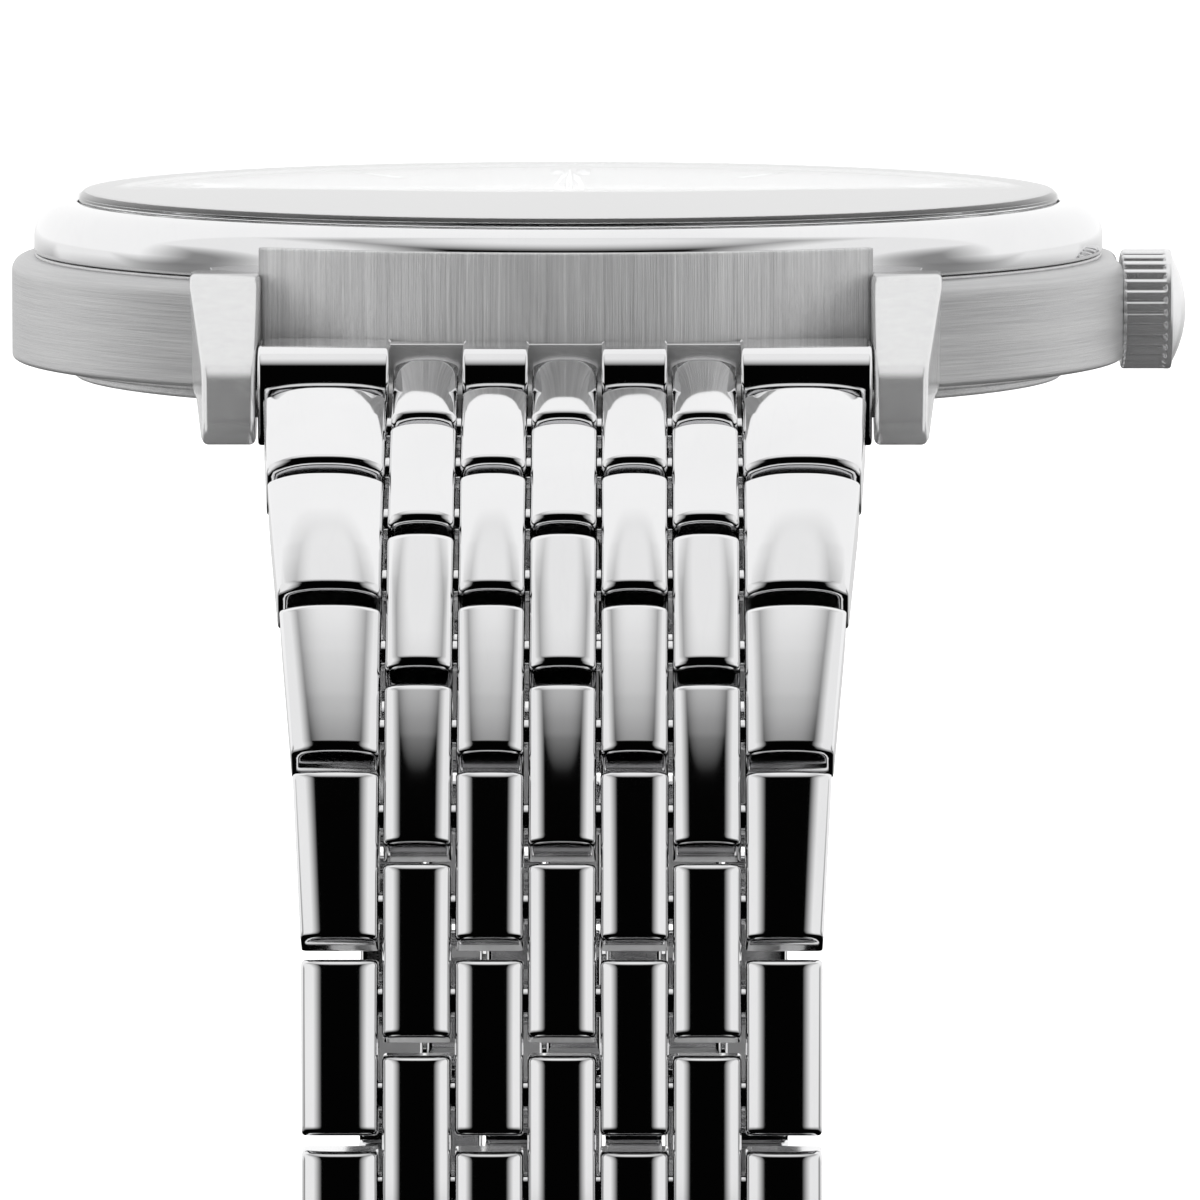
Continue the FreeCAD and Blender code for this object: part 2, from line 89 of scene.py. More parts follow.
# Closed outline of (a, b, radius): each corner is an arc between its tangent points, with one
# more point on each straight just outside the arc, so flats stay flat.
def roundOutline(corners, steps=6, support=0.06, leastRadius=0.002):
    corners = np.array(corners, float)
    points = []
    count = len(corners)
    for i in range(count):
        corner = corners[i, :2]
        radius = max(corners[i, 2], leastRadius)
        back = corners[i - 1, :2] - corner
        ahead = corners[(i + 1) % count, :2] - corner
        back /= np.linalg.norm(back)
        ahead /= np.linalg.norm(ahead)
        half = math.acos(np.clip(back @ ahead, -1, 1)) / 2
        reach = radius / math.tan(half)
        middle = (back + ahead) / np.linalg.norm(back + ahead)
        centre = corner + middle * radius / math.sin(half)
        startArm = corner + back * reach - centre
        endArm = corner + ahead * reach - centre
        turn = math.pi - 2 * half
        t = np.linspace(0, 1, steps + 1)[:, None]
        arc = (startArm * np.sin((1 - t) * turn) + endArm * np.sin(t * turn)) / math.sin(turn)
        points.append((corner + back * (reach + support))[None])
        points.append(centre + arc)
        points.append((corner + ahead * (reach + support))[None])
    return np.concatenate(points)


# Points at radius times (cosine, sine) of even angles, about a centre.
def circleOutline(radius, centre, count):
    angle = np.linspace(0, 2 * math.pi, count, endpoint=False)
    return np.stack([centre[0] + radius * np.cos(angle), centre[1] + radius * np.sin(angle)], 1)


# Outward unit normal at each point: the chord between its neighbours, turned a quarter.
def outlineNormals(outline):
    chord = np.roll(outline, -1, 0) - np.roll(outline, 1, 0)
    normal = np.stack([chord[:, 1], -chord[:, 0]], 1)
    normal /= np.linalg.norm(normal, axis=1)[:, None]
    x, y = outline.T
    area = np.sum(x * np.roll(y, -1) - np.roll(x, -1) * y)
    return normal if area > 0 else -normal


# Vertices and faces of rings of equal count joined one after the next. Open ends are filled
# with one flat face each; closed joins the last ring to the first.
def loft(sections, closed=False):
    sections = np.asarray(sections, float)
    rings, count = sections.shape[:2]
    ringIndex = np.arange(rings if closed else rings - 1)[:, None]
    pointIndex = np.arange(count)[None, :]
    nextRing = (ringIndex + 1) % rings
    nextPoint = (pointIndex + 1) % count
    quads = np.stack([ringIndex * count + pointIndex, ringIndex * count + nextPoint,
                      nextRing * count + nextPoint, nextRing * count + pointIndex], -1)
    faces = quads.reshape(-1, 4).tolist()
    if not closed:
        faces.append(list(range(count))[::-1])
        faces.append(list(range((rings - 1) * count, rings * count)))
    return sections.reshape(-1, 3), faces


# An outline carried from low to high with its rims rounded: each ring is the outline drawn in
# along its normals by edge times (1 minus sine), at edge times (1 minus cosine). The first ring
# and the last of each rim hold the flats. place(a, b, h) turns outline and height into x, y, z.
def slab(outline, low, high, edge, place, steps, capInset=2.2, sideRise=1.6):
    normal = outlineNormals(outline)
    angle = np.linspace(0, math.pi / 2, steps + 1)
    inset = np.concatenate([[capInset * edge], edge * (1 - np.sin(angle)), [0]])
    rise = np.concatenate([[0], edge * (1 - np.cos(angle)), [sideRise * edge]])
    insets = np.concatenate([inset, inset[::-1]])
    share = np.concatenate([np.zeros(len(rise)), np.ones(len(rise))])
    offset = np.concatenate([rise, -rise[::-1]])
    a = outline[None, :, 0] - insets[:, None] * normal[None, :, 0]
    b = outline[None, :, 1] - insets[:, None] * normal[None, :, 1]
    highHere = high(a, b) if callable(high) else np.full(a.shape, float(high))
    h = low + (highHere - low) * share[:, None] + offset[:, None]
    return loft(np.stack(place(a, b, h), -1))


# Outline in the YZ plane, height along X.
def alongX(a, b, h):
    return h, a, b


# An outline of (radius, z) stood up at each angle about the dial's axis: x is radius times
# cosine, y is radius times sine.
def sweptRings(outline, angle):
    radius, z = outline.T
    angle = angle[:, None]
    return np.stack([radius * np.cos(angle), radius * np.sin(angle), z + 0 * angle], -1)


# A closed outline swept once round the dial's axis.
def turned(outline, count):
    angle = np.linspace(0, 2 * math.pi, count, endpoint=False)
    return loft(sweptRings(outline, angle), closed=True)


# An open profile from one side of a disc to the other, each point swept into a ring.
def turnedDisc(profile, count):
    angle = np.linspace(0, 2 * math.pi, count, endpoint=False)
    return loft(sweptRings(np.array(profile), angle).swapaxes(0, 1))


# Each vertex times a 3 by 3 matrix, plus a shift.
def moved(solid, matrix, shift=(0, 0, 0)):
    points, faces = solid
    return points @ np.array(matrix, float).T + np.array(shift, float), faces


# One object from several closed solids: points are scaled to metres, and faces turned out.
def makePiece(name, solids, material, body, slot, *nodes):
    points, faces, start = [], [], 0
    for solidPoints, solidFaces in solids:
        points.append(solidPoints)
        faces += [[index + start for index in face] for face in solidFaces]
        start += len(solidPoints)
    mesh = bpy.data.meshes.new(name)
    mesh.from_pydata((np.concatenate(points) * metrePerMm).tolist(), [], faces)
    shell = bmesh.new()
    shell.from_mesh(mesh)
    bmesh.ops.recalc_face_normals(shell, faces=shell.faces)
    shell.to_mesh(mesh)
    shell.free()
    mesh.polygons.foreach_set("use_smooth", [True] * len(mesh.polygons))
    mesh.materials.append(material)
    piece = bpy.data.objects.new(name, mesh)
    bpy.context.scene.collection.objects.link(piece)
    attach(piece, body)
    if nodes:
        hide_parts(*nodes)


# A CAD node keeps its mesh; each of its material slots gets the finish.
def giveFinish(node, material):
    for materialSlot in frame["nodes"][node].material_slots:
        materialSlot.material = material


# Empty node group; inputs are (label, kind, value) and outputs (label, kind).
def newGroup(name, inputs, outputs):
    group = bpy.data.node_groups.new(name, "ShaderNodeTree")
    for label, kind, value in inputs:
        socket = group.interface.new_socket(name=label, in_out="INPUT", socket_type=kind)
        socket.default_value = value
    for label, kind in outputs:
        group.interface.new_socket(name=label, in_out="OUTPUT", socket_type=kind)
    return group, group.nodes.new("NodeGroupInput"), group.nodes.new("NodeGroupOutput")


# Links a socket to an input, or sets the input to a plain value.
def feed(tree, value, socket):
    if isinstance(value, bpy.types.NodeSocket):
        tree.links.new(value, socket)
    else:
        socket.default_value = value


# A Math node whose inputs are sockets or plain numbers.
def mathNode(tree, operation, *values, clamp=False):
    node = tree.nodes.new("ShaderNodeMath")
    node.operation = operation
    node.use_clamp = clamp
    for socket, value in zip(node.inputs, values):
        feed(tree, value, socket)
    return node.outputs[0]


# Noise from 0 to 1 read at a vector.
def noiseNode(tree, vector, scale, detail=3.0, rough=0.5):
    node = tree.nodes.new("ShaderNodeTexNoise")
    node.inputs["Detail"].default_value = detail
    node.inputs["Roughness"].default_value = rough
    feed(tree, scale, node.inputs["Scale"])
    tree.links.new(vector, node.inputs["Vector"])
    return node.outputs["Fac"]


# A vector turned, then stretched along each axis.
def mappedVector(tree, vector, stretch, turn=(0, 0, 0)):
    node = tree.nodes.new("ShaderNodeMapping")
    node.inputs["Rotation"].default_value = turn
    node.inputs["Scale"].default_value = stretch
    tree.links.new(vector, node.inputs["Vector"])
    return node.outputs["Vector"]


grainMix = {"fineDetail": 6.0, "fineRough": 0.7, "coarseScale": 0.22, "coarseRough": 0.6,
            "coarseWeight": 0.6}


# Fine lines: noise read from a vector stretched by the material, in two sizes added up.
def brushGrainGroup():
    group, entry, out = newGroup(
        "brushGrain", [("Stretched", "NodeSocketVector", (0, 0, 0)), ("Scale", "NodeSocketFloat", 1.0)],
        [("Grain", "NodeSocketFloat")])
    vector, scale = entry.outputs["Stretched"], entry.outputs["Scale"]
    fine = noiseNode(group, vector, scale, grainMix["fineDetail"], grainMix["fineRough"])
    coarseScale = mathNode(group, "MULTIPLY", scale, grainMix["coarseScale"])
    coarse = noiseNode(group, vector, coarseScale, rough=grainMix["coarseRough"])
    both = mathNode(group, "MULTIPLY_ADD", coarse, grainMix["coarseWeight"], fine)
    group.links.new(both, out.inputs["Grain"])
    return group


handlingMarks = {"turn": (0.6, 0.35, 0.9), "stretch": (1.0, 0.06, 0.3), "scratchDetail": 2.0,
                 "scratchThin": 60.0, "hazeDetail": 4.0, "hazeRough": 0.6}


# Hairline scratches where a stretched noise nears its middle value of one half: 1 minus the
# distance from it times the thinness. Haze is a large noise.
def handlingGroup():
    group, entry, out = newGroup(
        "handling", [("Place", "NodeSocketVector", (0, 0, 0)), ("Scratch Scale", "NodeSocketFloat", 900.0),
                     ("Haze Scale", "NodeSocketFloat", 160.0)],
        [("Scratches", "NodeSocketFloat"), ("Haze", "NodeSocketFloat")])
    place = entry.outputs["Place"]
    stretched = mappedVector(group, place, handlingMarks["stretch"], handlingMarks["turn"])
    lines = noiseNode(group, stretched, entry.outputs["Scratch Scale"], handlingMarks["scratchDetail"])
    away = mathNode(group, "ABSOLUTE", mathNode(group, "SUBTRACT", lines, 0.5))
    wide = mathNode(group, "MULTIPLY", away, handlingMarks["scratchThin"])
    thin = mathNode(group, "SUBTRACT", 1.0, wide, clamp=True)
    haze = noiseNode(group, place, entry.outputs["Haze Scale"], handlingMarks["hazeDetail"],
                     handlingMarks["hazeRough"])
    group.links.new(thin, out.inputs["Scratches"])
    group.links.new(haze, out.inputs["Haze"])
    return group


brushGrain = brushGrainGroup()
handling = handlingGroup()


# A Principled material with its uniform values set on the shader itself.
def newMaterial(name, colour, metallic, rough):
    material = bpy.data.materials.new(name)
    material.use_nodes = True
    tree = material.node_tree
    shader = tree.nodes["Principled BSDF"]
    shader.inputs["Base Color"].default_value = (*colour, 1)
    shader.inputs["Metallic"].default_value = metallic
    shader.inputs["Roughness"].default_value = rough
    place = tree.nodes.new("ShaderNodeTexCoord").outputs["Object"]
    return material, tree, shader, place


# A node group placed in a material, with its inputs given by label.
def groupNode(tree, group, values):
    node = tree.nodes.new("ShaderNodeGroup")
    node.node_tree = group
    for label, value in values.items():
        feed(tree, value, node.inputs[label])
    return node.outputs


# Colour at a mask: first where it is 0, second where it is 1, into the shader's base colour.
def paint(tree, mask, first, second, shader):
    node = tree.nodes.new("ShaderNodeMix")
    node.data_type = "RGBA"
    node.inputs["A"].default_value = (*first, 1)
    node.inputs["B"].default_value = (*second, 1)
    tree.links.new(mask, node.inputs["Factor"])
    tree.links.new(node.outputs["Result"], shader.inputs["Base Color"])


# Roughness is a base plus a mask times a spread.
def roughen(tree, mask, spread, base, shader):
    tree.links.new(mathNode(tree, "MULTIPLY_ADD", mask, spread, base), shader.inputs["Roughness"])


# A height turned into the shader's normal.
def bump(tree, height, look, shader):
    node = tree.nodes.new("ShaderNodeBump")
    node.inputs["Strength"].default_value = look["strength"]
    node.inputs["Distance"].default_value = look["height"]
    tree.links.new(height, node.inputs["Height"])
    tree.links.new(node.outputs["Normal"], shader.inputs["Normal"])


# Straight line from (low, toLow) to (high, toHigh), held at both ends.
def mapRange(tree, value, low, high, toLow=0, toHigh=1):
    node = tree.nodes.new("ShaderNodeMapRange")
    for label, number in (("From Min", low), ("From Max", high), ("To Min", toLow), ("To Max", toHigh)):
        node.inputs[label].default_value = number
    tree.links.new(value, node.inputs["Value"])
    return node.outputs["Result"]


polishedLook = {"colour": (0.80, 0.80, 0.805), "dull": (0.70, 0.70, 0.71), "metallic": 1.0, "rough": 0.055,
                "hazeFrom": 0.35, "hazeTo": 0.75, "hazeShare": 0.35, "scratchShare": 0.06, "hazeRough": 0.05}
flutedLook = {**polishedLook, "metallic": 0.88, "rough": 0.18}


# Mirror polish: haze and scratches, each times its share, add up to a dullness that dims the
# colour and adds a little roughness.
def polishedSteel(name, look):
    material, tree, shader, place = newMaterial(name, look["colour"], look["metallic"], look["rough"])
    worn = groupNode(tree, handling, {"Place": place})
    haze = mapRange(tree, worn["Haze"], look["hazeFrom"], look["hazeTo"])
    hazed = mathNode(tree, "MULTIPLY", haze, look["hazeShare"])
    dull = mathNode(tree, "MULTIPLY_ADD", worn["Scratches"], look["scratchShare"], hazed)
    paint(tree, dull, look["colour"], look["dull"], shader)
    roughen(tree, dull, look["hazeRough"], look["rough"], shader)
    return material


brushedLook = {"light": (0.74, 0.74, 0.74), "dark": (0.56, 0.56, 0.565), "metallic": 0.8, "rough": 0.3,
               "spread": 0.14, "scale": 12000.0, "grainFrom": 0.55, "grainTo": 1.05, "strength": 0.5,
               "height": 0.00003}


# Satin brushing: noise squeezed across one direction drives colour, roughness and bump.
def brushedSteel(name, stretch, **changes):
    look = {**brushedLook, **changes}
    material, tree, shader, place = newMaterial(name, look["light"], look["metallic"], look["rough"])
    stretched = mappedVector(tree, place, stretch)
    lines = groupNode(tree, brushGrain, {"Stretched": stretched, "Scale": look["scale"]})
    grain = mapRange(tree, lines["Grain"], look["grainFrom"], look["grainTo"])
    paint(tree, grain, look["dark"], look["light"], shader)
    roughen(tree, grain, look["spread"], look["rough"], shader)
    bump(tree, lines["Grain"], look, shader)
    return material


crystalLook = {"colour": (0.97, 0.98, 0.98), "rough": 0.01, "ior": 1.76, "hazeScale": 60.0, "strength": 0.02,
               "height": 0.00001}


# Clear glass with a trace of wiping marks in its surface normal.
def crystalGlass():
    material, tree, shader, place = newMaterial("crystalGlass", crystalLook["colour"], 0.0,
                                                crystalLook["rough"])
    shader.inputs["Transmission Weight"].default_value = 1.0
    shader.inputs["IOR"].default_value = crystalLook["ior"]
    wiped = groupNode(tree, handling, {"Place": place, "Haze Scale": crystalLook["hazeScale"]})
    bump(tree, wiped["Haze"], crystalLook, shader)
    return material


rubberLook = {"colour": (0.02, 0.02, 0.022), "rough": 0.55, "scale": 5000.0, "detail": 4.0, "spread": 0.25,
              "roughFrom": 0.45, "strength": 0.2, "height": 0.00001}


# Black rubber: a fine speck in roughness and bump.
def sealRubber():
    material, tree, shader, place = newMaterial("sealRubber", rubberLook["colour"], 0.0, rubberLook["rough"])
    speck = noiseNode(tree, place, rubberLook["scale"], rubberLook["detail"])
    roughen(tree, speck, rubberLook["spread"], rubberLook["roughFrom"], shader)
    bump(tree, speck, rubberLook, shader)
    return material


dialLook = {"light": (0.74, 0.74, 0.735), "shade": (0.58, 0.58, 0.58), "metallic": 0.1, "rough": 0.34,
            "coat": 1.0, "coatRough": 0.04, "rays": 90.0, "rayDetail": 5.0, "rayRough": 0.75, "rayFrom": 0.3,
            "rayTo": 0.7, "spread": 0.2, "roughFrom": 0.24, "strength": 0.08, "height": 0.00002}


# Lacquered silver dial: noise read from the direction out of the centre makes fine sun rays.
def dialPaint():
    material, tree, shader, place = newMaterial("dialPaint", dialLook["light"], dialLook["metallic"],
                                                dialLook["rough"])
    shader.inputs["Coat Weight"].default_value = dialLook["coat"]
    shader.inputs["Coat Roughness"].default_value = dialLook["coatRough"]
    direction = tree.nodes.new("ShaderNodeVectorMath")
    direction.operation = "NORMALIZE"
    tree.links.new(mappedVector(tree, place, (1, 1, 0)), direction.inputs[0])
    rays = noiseNode(tree, direction.outputs[0], dialLook["rays"], dialLook["rayDetail"],
                     dialLook["rayRough"])
    mask = mapRange(tree, rays, dialLook["rayFrom"], dialLook["rayTo"])
    paint(tree, mask, dialLook["shade"], dialLook["light"], shader)
    roughen(tree, rays, dialLook["spread"], dialLook["roughFrom"], shader)
    bump(tree, rays, dialLook, shader)
    return material


printLook = {"colour": (0.03, 0.03, 0.035), "rough": 0.5, "scale": 8000.0, "spread": 0.3, "roughFrom": 0.35}


# Dark ink whose roughness varies with a very fine noise.
def dialPrint():
    material, tree, shader, place = newMaterial("dialPrint", printLook["colour"], 0.0, printLook["rough"])
    speck = noiseNode(tree, place, printLook["scale"])
    roughen(tree, speck, printLook["spread"], printLook["roughFrom"], shader)
    return material


moduleLook = {"colour": (0.72, 0.70, 0.62), "low": (0.60, 0.58, 0.50), "high": (0.80, 0.78, 0.70),
              "rough": 0.45, "scale": 2600.0, "detail": 5.0, "strength": 0.15, "height": 0.00002}


# Moulded holder: pale plastic with a fine grain and slight colour drift.
def moduleBody():
    material, tree, shader, place = newMaterial("moduleBody", moduleLook["colour"], 0.0, moduleLook["rough"])
    grain = noiseNode(tree, place, moduleLook["scale"], moduleLook["detail"])
    paint(tree, grain, moduleLook["low"], moduleLook["high"], shader)
    bump(tree, grain, moduleLook, shader)
    return material


# a small number in the stretch draws the lines out along that axis
steel = polishedSteel("polishedSteel", polishedLook)
steelFluted = polishedSteel("polishedFlutes", flutedLook)
steelRound = brushedSteel("steelBrushedRound", (0.02, 0.02, 1.0), light=(0.58, 0.58, 0.58),
                          dark=(0.42, 0.42, 0.425))
steelUpright = brushedSteel("steelBrushedUpright", (1.0, 0.35, 0.015), dark=(0.46, 0.46, 0.465),
                            strength=0.8)
steelSatin = brushedSteel("steelSatin", (0.6, 1.0, 0.6), light=(0.70, 0.70, 0.70), dark=(0.64, 0.64, 0.645),
                          rough=0.16, spread=0.06, strength=0.04)
steelLong = brushedSteel("steelBrushedLong", (1.0, 0.015, 1.0))
steelTurned = brushedSteel("steelTurned", (0.03, 1.0, 1.0))
glass = crystalGlass()
rubber = sealRubber()
dialFinish = dialPaint()
printFinish = dialPrint()
moduleFinish = moduleBody()
print("materials made")


beltShape = {"outside": 19.0, "ledge": 1.3, "bottom": 0.6, "top": 4.1, "topEdge": 0.5, "lowEdge": 0.18,
             "innerEdge": 0.05, "reach": 55.0, "pocketFloor": 18.6, "pocketHalf": 2.3, "pocketEase": 0.1,
             "pocketAngle": 0.14}


# Profile carried along an arc of each side. On the crown's side x is held to the pocket floor
# where y is inside the pocket, eased over the pocket's edges.
def beltPieces():
    outside, edge = beltShape["outside"], beltShape["innerEdge"]
    inside = outside - beltShape["ledge"]
    bottom, top = beltShape["bottom"], beltShape["top"]
    outline = roundOutline([(inside, bottom, edge), (outside, bottom, beltShape["lowEdge"]),
                            (outside, top, beltShape["topEdge"]), (inside, top, edge)], 8)
    reach = math.radians(beltShape["reach"])
    nearPocket = np.linspace(-beltShape["pocketAngle"], beltShape["pocketAngle"], 91)
    wide = np.linspace(beltShape["pocketAngle"] + 0.01, reach, 60)
    rings = sweptRings(outline, np.concatenate([-wide[::-1], nearPocket, wide]))
    crownSide = rings.copy()
    ease = beltShape["pocketEase"]
    depth = smooth((beltShape["pocketHalf"] + ease / 2 - np.abs(crownSide[..., 1])) / ease)
    held = np.minimum(crownSide[..., 0], beltShape["pocketFloor"])
    crownSide[..., 0] += (held - crownSide[..., 0]) * depth
    return [loft(crownSide), moved(loft(rings), halfTurn)]


# radius, z, corner radius
flankShape = {"reach": 32.6, "support": 0.04,
              "profile": [(17.6, 0.6, 0.05), (18.7, 0.6, 0.1), (18.7, 5.3, 0.07), (18.27, 5.3, 0.04),
                          (18.27, 4.2, 0.03), (17.6, 4.2, 0.05)]}


# The wall between two lugs: a thin upright profile carried along an arc.
def flankPieces():
    outline = roundOutline(flankShape["profile"], 5, flankShape["support"])
    reach = math.radians(flankShape["reach"])
    wall = loft(sweptRings(outline, np.linspace(-reach, reach, 91) - math.pi / 2))
    return [wall, moved(wall, halfTurn)]


# y, z, corner radius, from the case out to the foot and back
lugShape = {"gapHalf": 10.0, "top": 12.35, "foot": 11.7, "edge": 0.2, "support": 0.12, "taperFrom": 15.5,
            "taperLength": 7.0,
            "profile": [(-14.0, 0.6, 0.05), (-14.0, 4.45, 0.05), (-16.2, 4.45, 2.0), (-21.3, 1.75, 1.3),
                        (-22.6, -0.7, 0.55), (-20.6, -0.7, 0.5), (-18.8, 0.6, 1.2)]}


# Side outline of a lug carried along X; its outer side eases from the case in to the foot.
def lugPieces():
    outline = roundOutline(lugShape["profile"], 8, lugShape["support"])

    # x of the outer side: from top to foot, eased over the taper's length
    def outerSide(a, b):
        share = smooth((-a - lugShape["taperFrom"]) / lugShape["taperLength"])
        return lugShape["top"] - (lugShape["top"] - lugShape["foot"]) * share

    right = slab(outline, lugShape["gapHalf"], outerSide, lugShape["edge"], alongX, 6)
    left = moved(right, mirrorX)
    return [right, left, moved(right, halfTurn), moved(left, halfTurn)]


# radius, z, corner radius
coreShape = {"profile": [(15.8, 0.95, 0.05), (16.25, 0.6, 0.05), (18.2, 0.6, 0.05), (18.2, 4.18, 0.05),
                         (15.8, 4.18, 0.05)]}


# Round middle of the case, under the bezel and the belts.
def caseCore():
    return [turned(roundOutline(coreShape["profile"], 3), 240)]


for name, solids, finish in (("caseCore", caseCore(), steelTurned), ("caseBelts", beltPieces(), steelRound),
                             ("caseFlanks", flankPieces(), steelUpright),
                             ("caseLugs", lugPieces(), steelSatin)):
    makePiece(name, solids, finish, "case", "case_steel", "middle_case")


bezelShape = {"rim": 16.95, "bore": 16.75, "shoulder": 4.75, "bottom": 4.22, "rehaut": 15.72, "seat": 5.1}


# Ring whose outside is a quarter ellipse from the inner rim down to the shoulder. The other
# corners are broken by a few hundredths.
def bezelRing():
    high = boxMm("bezel")[1]
    outer, top = high[0], high[2]
    rim, bore, shoulder = bezelShape["rim"], bezelShape["bore"], bezelShape["shoulder"]
    bottom, rehaut, seat = bezelShape["bottom"], bezelShape["rehaut"], bezelShape["seat"]
    angle = np.linspace(math.pi / 2, 0, 33)[1:]
    curve = np.stack([rim + (outer - rim) * np.cos(angle), shoulder + (top - shoulder) * np.sin(angle)], 1)
    inner = np.array([(outer, bottom + 0.06), (outer - 0.02, bottom + 0.02), (outer - 0.06, bottom),
                      (rehaut + 0.04, bottom), (rehaut, bottom + 0.04), (rehaut, seat - 0.03),
                      (rehaut + 0.03, seat), (bore - 0.02, seat), (bore, seat + 0.02), (bore, top - 0.12),
                      (bore + 0.015, top - 0.07), (bore + 0.06, top - 0.02), (rim - 0.08, top), (rim, top)])
    return [turned(np.concatenate([curve, inner]), 360)]


crystalShape = {"centre": 0.5, "lower": 16.3, "step": 5.6, "chamfer": 0.13}


# Flat glass with a small chamfer, narrower below where the gasket holds it.
def crystalDisc():
    low, high = boxMm("crystal")
    top, seat, radius = high[2], low[2], high[0]
    centre, lower, step = crystalShape["centre"], crystalShape["lower"], crystalShape["step"]
    chamfer = crystalShape["chamfer"]
    profile = [(centre, seat), (lower - 0.1, seat), (lower - 0.02, seat + 0.02), (lower, seat + 0.06),
               (lower, step - 0.02), (lower + 0.02, step), (radius - 0.04, step), (radius, step + 0.04),
               (radius, top - 0.04 - chamfer), (radius - 0.01, top - 0.01 - chamfer),
               (radius - 0.03, top + 0.015 - chamfer), (radius - chamfer, top - 0.02),
               (radius - 0.03 - chamfer, top - 0.004), (radius - 0.07 - chamfer, top), (radius - 0.6, top),
               (centre, top)]
    return [turnedDisc(profile, 360)]


# radius, z: the flat wrist face with a turned groove, the stepped rim, then the boss inside
backShape = {"profile": [(0.5, 0), (15.0, 0), (15.2, 0), (15.26, 0.03), (15.4, 0.03), (15.46, 0), (15.6, 0),
                         (16.7, 0), (16.82, 0.01), (16.88, 0.06), (16.9, 0.12), (16.9, 0.33), (16.92, 0.35),
                         (17.55, 0.35), (17.66, 0.37), (17.7, 0.43), (17.7, 0.58), (17.68, 0.6),
                         (15.75, 0.6), (15.7, 0.62), (15.7, 0.98), (15.6, 1.0), (0.5, 1.0)]}

makePiece("bezelRing", bezelRing(), steel, "case", "polished_steel", "bezel")
makePiece("crystalDisc", crystalDisc(), glass, "case", "crystal_glass", "crystal")
makePiece("caseBackDisc", [turnedDisc(backShape["profile"], 300)], steelLong, "case", "case_steel",
          "case_back")


crownShape = {"flutes": 30, "depth": 0.13, "sharpness": 0.6, "stemRadius": 1.08, "domeEdge": 1.86,
              "domeWidth": 0.6, "domeShares": (1.0, 0.985, 0.95, 0.85, 0.7, 0.5, 0.3, 0.12)}


# Rings along X whose radius dips in even flutes, then a plain rim and a dome cut from a ball.
# The dip is the depth times 1 minus |sine| to a power.
def crownBody():
    low, high = boxMm("crown")
    start, end = low[0], high[0]
    radius = (high[2] - low[2]) / 2
    axis = jointMm("crown_turn")
    rim = end - crownShape["domeWidth"]
    # x, radius, how much of the flute depth
    stations = [(start, crownShape["stemRadius"], 0), (start, radius - 0.5, 0), (start, radius - 0.2, 0.3),
                (start + 0.04, radius - 0.06, 0.8), (start + 0.1, radius, 1), (start + 0.2, radius, 1),
                (rim - 0.3, radius, 1), (rim - 0.16, radius, 1), (rim - 0.13, radius, 0.4),
                (rim - 0.11, radius, 0), (rim - 0.06, radius, 0), (rim + 0.02, radius, 0),
                (rim + 0.07, radius - 0.02, 0), (rim + 0.1, radius - 0.07, 0), (rim + 0.1, radius - 0.16, 0)]
    base = crownShape["domeEdge"]
    rise = end - rim - 0.1
    ball = (base * base + rise * rise) / (2 * rise)
    for share in crownShape["domeShares"]:
        r = base * share
        stations.append((end - ball + math.sqrt(ball * ball - r * r), r, 0))
    stations = np.array(stations)
    angle = np.linspace(0, 2 * math.pi, crownShape["flutes"] * 12, endpoint=False)[None, :]
    wave = np.abs(np.sin(angle * crownShape["flutes"] / 2)) ** crownShape["sharpness"]
    r = stations[:, 1:2] - crownShape["depth"] * stations[:, 2:3] * (1 - wave)
    rings = [stations[:, 0:1] + 0 * angle, axis[1] + r * np.cos(angle), axis[2] + r * np.sin(angle)]
    return [loft(np.stack(rings, -1))]


makePiece("crownBody", crownBody(), steelFluted, "crown", "polished_steel", "crown")
print("case, bezel, crystal and crown made")


handShape = {"hour_hand": {"length": 8.6, "tail": 2.2, "halfWidth": 0.72, "level": 4.34, "hub": 1.15},
             "minute_hand": {"length": 12.8, "tail": 2.6, "halfWidth": 0.52, "level": 4.58, "hub": 0.85},
             "second_hand": {"length": 13.6, "tail": 4.0, "halfWidth": 0.16, "level": 4.82, "hub": 0.5}}


# Faceted hand: a pointed outline along Y, its section a low roof with a ridge in the middle.
def handBlade(shape):
    length, tail = shape["length"], shape["tail"]
    y = np.array([-tail, -tail + 0.12, 0, length * 0.35, length * 0.75, length - 0.3, length])
    half = shape["halfWidth"] * np.array([0.45, 0.6, 0.75, 1.0, 0.62, 0.18, 0.06])
    across = np.array([-1, -0.96, -0.04, 0.04, 0.96, 1, 1, -1])
    lift = np.array([0.03, 0.05, 0.15, 0.15, 0.05, 0.03, 0, 0])
    x = half[:, None] * across[None, :]
    z = shape["level"] + lift[None, :] + 0 * x
    return loft(np.stack([x, y[:, None] + 0 * x, z], -1))


# Turned tube from the hand's lowest point up to its hub, which has a broken edge.
def handHub(node, shape):
    foot = boxMm(node)[0][2]
    hub, level = shape["hub"], shape["level"]
    tube = hub * 0.4
    return turnedDisc([(0.05, foot), (tube, foot), (tube, level), (hub, level), (hub, level + 0.1),
                       (hub - 0.06, level + 0.15), (0.05, level + 0.15)], 64)


for node, shape in handShape.items():
    makePiece(node.replace("_h", "H") + "Blade", [handBlade(shape), handHub(node, shape)], steel, node,
              "polished_steel", node)


barShape = {"inner": 11.4, "outer": 14.6, "half": 0.25, "rise": 0.22, "twinShift": 0.45}
trackShape = {"inner": 14.75, "outer": 15.25, "half": 0.05, "rise": 0.012}
dialTop = boxMm("dial")[1][2]


